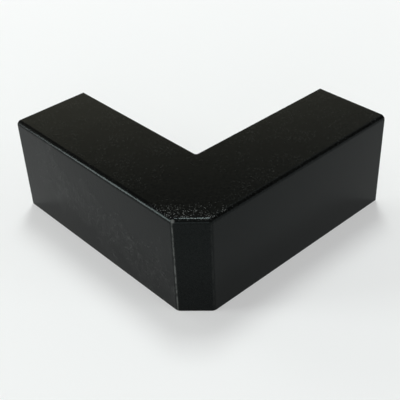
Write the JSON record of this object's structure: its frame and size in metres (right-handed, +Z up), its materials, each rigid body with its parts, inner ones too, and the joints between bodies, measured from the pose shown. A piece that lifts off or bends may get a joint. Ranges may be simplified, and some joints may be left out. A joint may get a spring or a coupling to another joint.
{
  "type": "trunking external corner",
  "caption": "L-shaped moulded cover that takes surface trunking round a wall's outside corner: flat top, upright fronts, chamfered nose and rounded edges; back, base and ends are open.",
  "frame": {"origin": "foot of the wall's outside corner: the vertical line where the two wall faces meet, at the level of the cover's bottom rim", "axes": "+X along the wall under one leg, towards its open end; +Y along the wall under the other leg, towards its open end; +Z up, from the open underside to the flat top"},
  "size_m": [0.1322, 0.1322, 0.0522],
  "materials": {
    "cover_plastic": "black, fine-grained satin"
  },
  "bodies": {
    "root": {"corner_cover": "cover_plastic"}
  },
  "joints": []
}
